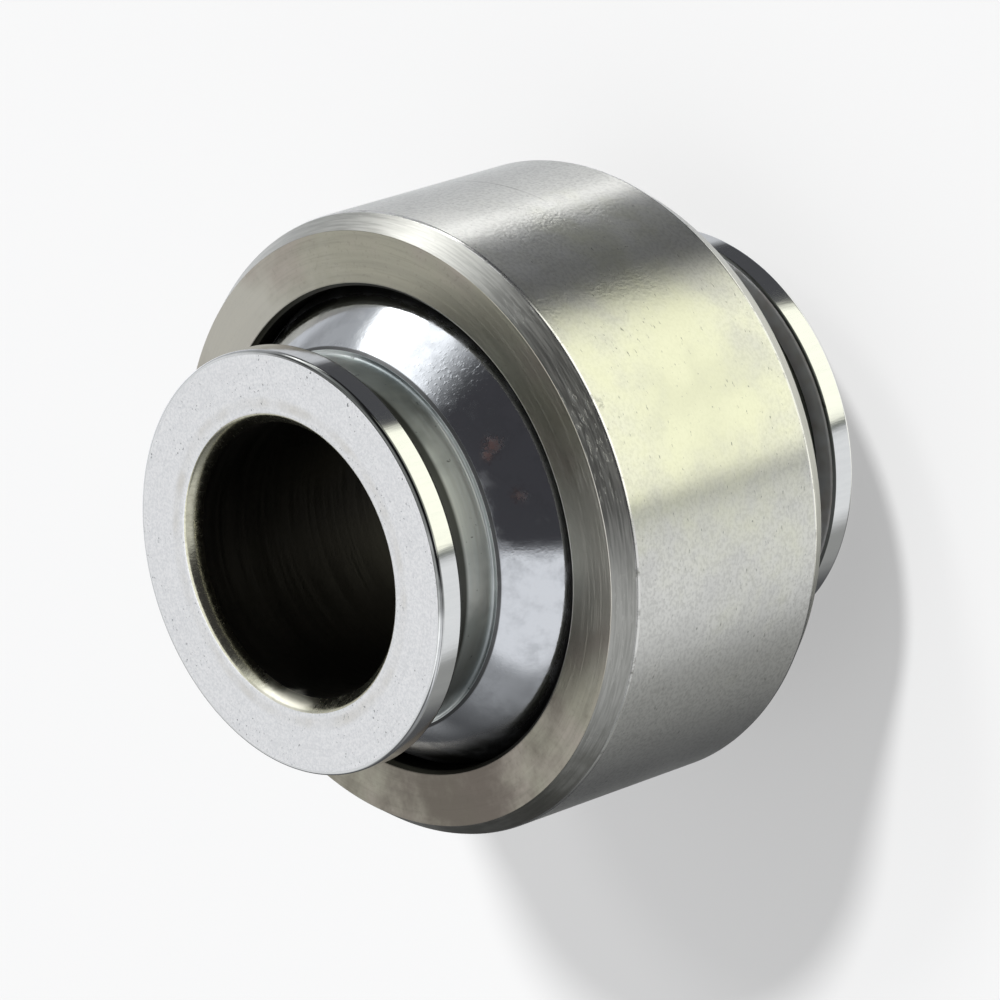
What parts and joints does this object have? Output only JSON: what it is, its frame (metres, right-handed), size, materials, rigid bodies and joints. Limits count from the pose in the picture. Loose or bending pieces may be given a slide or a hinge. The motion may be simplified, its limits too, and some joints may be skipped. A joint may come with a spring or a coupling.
{
  "type": "spherical plain bearing",
  "caption": "Weld-in spherical plain bearing: a plain steel ring formed round a bored, plated ball with grooved necks and end collars.",
  "frame": {"origin": "centre of the ball, on the bearing's axis", "axes": "+Z along the bore's axis, towards the collar that the picture shows; the bearing stands on its lower collar's end face; X is the axis that the ring's tilt joint uses"},
  "size_m": [0.058, 0.058, 0.053],
  "materials": {
    "plated_steel": "bright plated ball with satin end faces",
    "turned_steel": "bare turned mild steel"
  },
  "bodies": {
    "ball": {"ball": "plated_steel"},
    "outer_ring": {"outer_ring": "turned_steel"}
  },
  "joints": [
    {"name": "ring_tilt", "type": "hinge", "parent": "ball", "child": "outer_ring", "pos_m": [0, 0, 0], "axis": [1, 0, 0], "range_deg": [-18, 18]}
  ]
}
